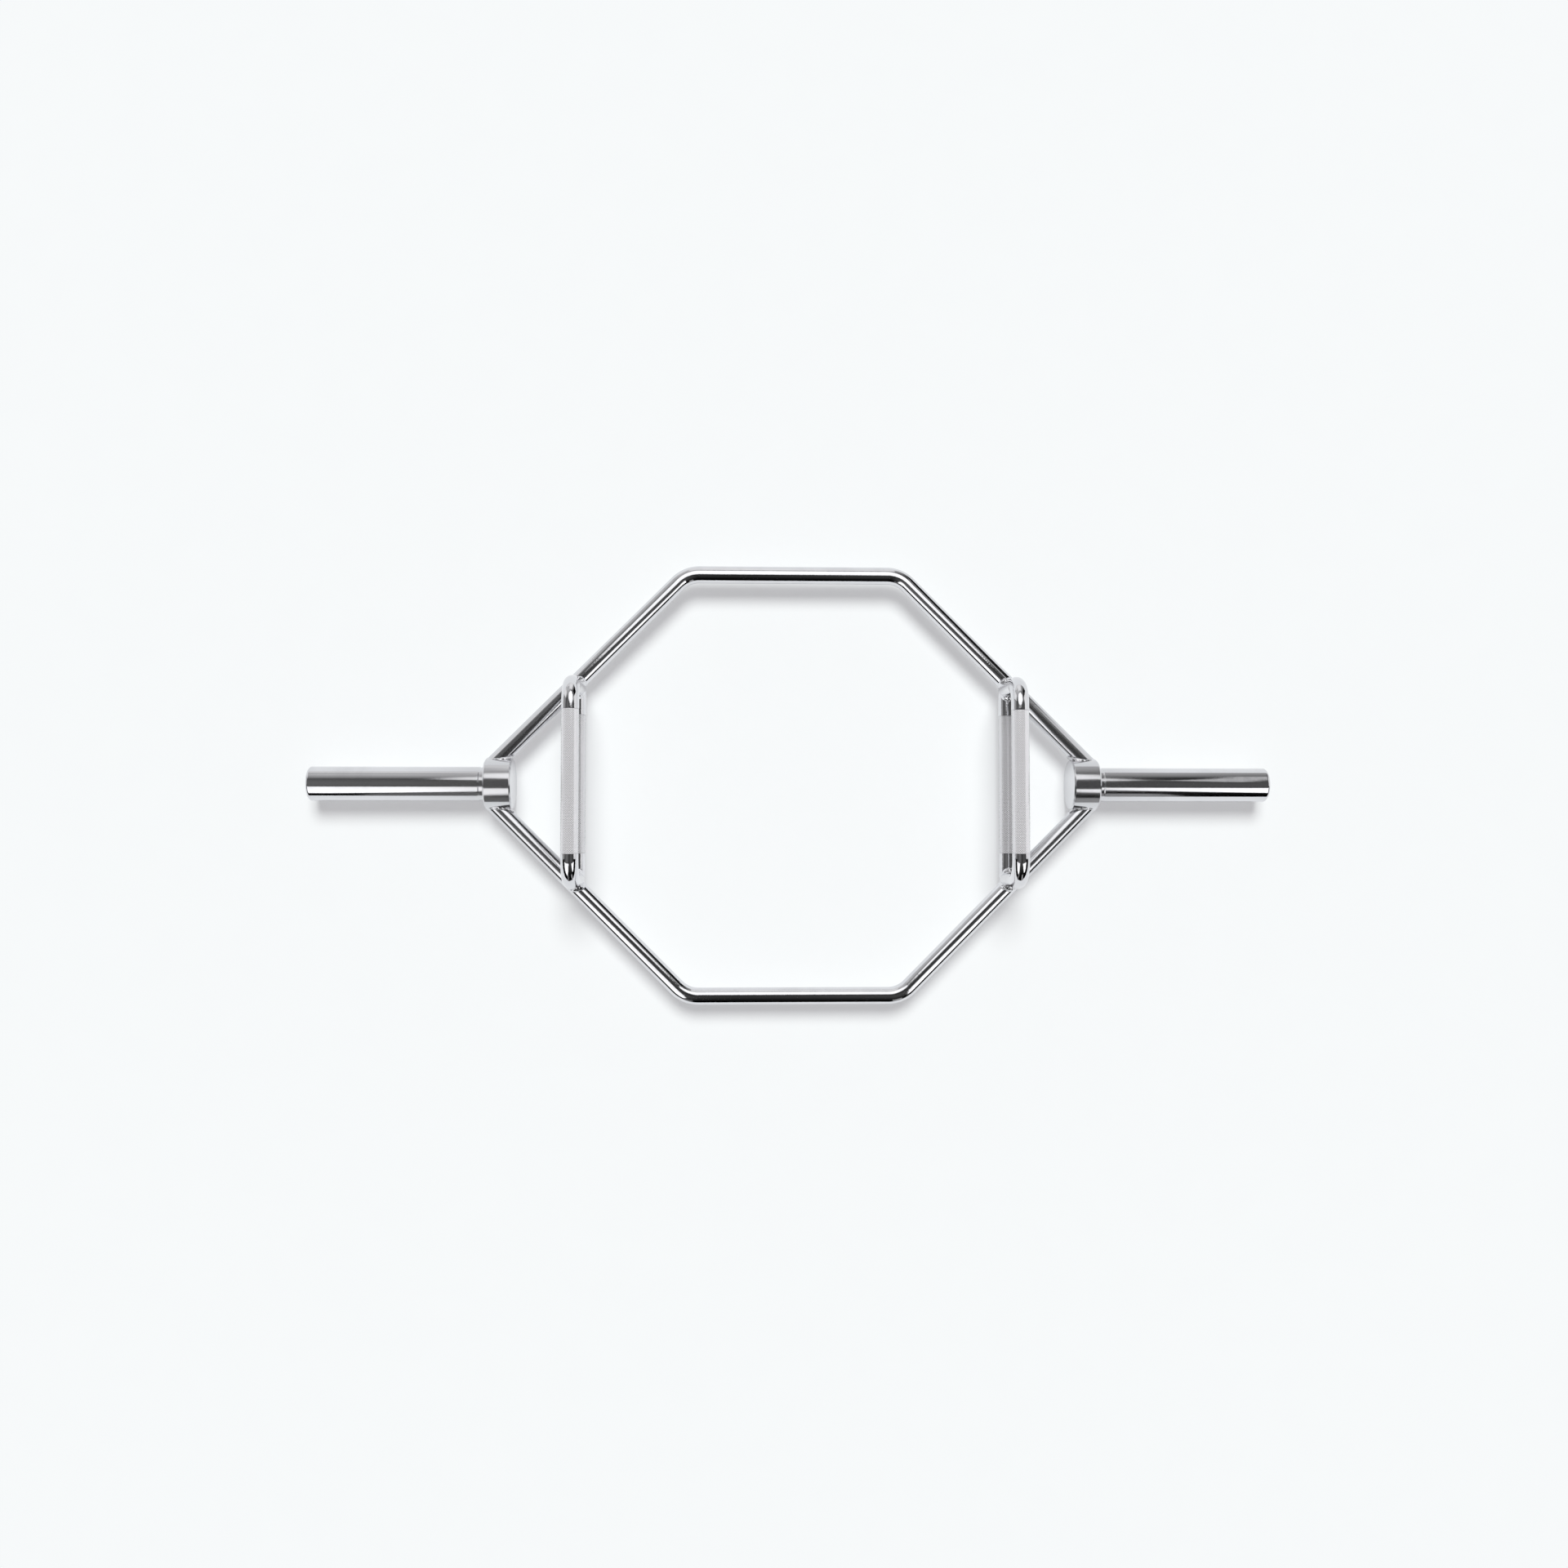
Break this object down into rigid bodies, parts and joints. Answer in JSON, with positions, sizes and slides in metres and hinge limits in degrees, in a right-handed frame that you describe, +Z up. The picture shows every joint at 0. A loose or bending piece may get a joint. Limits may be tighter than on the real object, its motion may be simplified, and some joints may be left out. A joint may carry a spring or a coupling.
{
  "type": "hex trap bar",
  "caption": "Chrome-plated hexagonal lifting bar: a welded rod frame to stand in, low and raised knurled handles, and fixed plate sleeves on hubs at the ends.",
  "frame": {"origin": "on the floor under the middle of the bar, level with the bottom of the hubs", "axes": "+X along the sleeves to the right, +Y towards the rear frame rod, +Z up"},
  "size_m": [1.41, 0.645, 0.15],
  "materials": {
    "polished_chrome": "bright chrome plate on drawn steel rod",
    "turned_chrome": "bright chrome plate on turned steel with fine lathe lines",
    "knurled_chrome": "chrome plate on steel rod with a fine diamond knurl on the grip",
    "plated_weld": "chrome plate over a rippled weld bead"
  },
  "bodies": {
    "root": {"frame_rod_rear": "polished_chrome", "frame_rod_front": "polished_chrome", "sleeve_left": "turned_chrome", "sleeve_right": "turned_chrome", "hub_left": "turned_chrome", "hub_right": "turned_chrome", "low_handle_left": "knurled_chrome", "low_handle_right": "knurled_chrome", "raised_handle_left": "knurled_chrome", "raised_handle_right": "knurled_chrome", "hub_weld_left_rear": "plated_weld", "hub_weld_left_front": "plated_weld", "hub_weld_right_rear": "plated_weld", "hub_weld_right_front": "plated_weld", "low_handle_weld_left_rear": "plated_weld", "low_handle_weld_left_front": "plated_weld", "low_handle_weld_right_rear": "plated_weld", "low_handle_weld_right_front": "plated_weld", "raised_handle_weld_left_rear": "plated_weld", "raised_handle_weld_left_front": "plated_weld", "raised_handle_weld_right_rear": "plated_weld", "raised_handle_weld_right_front": "plated_weld"}
  },
  "joints": []
}
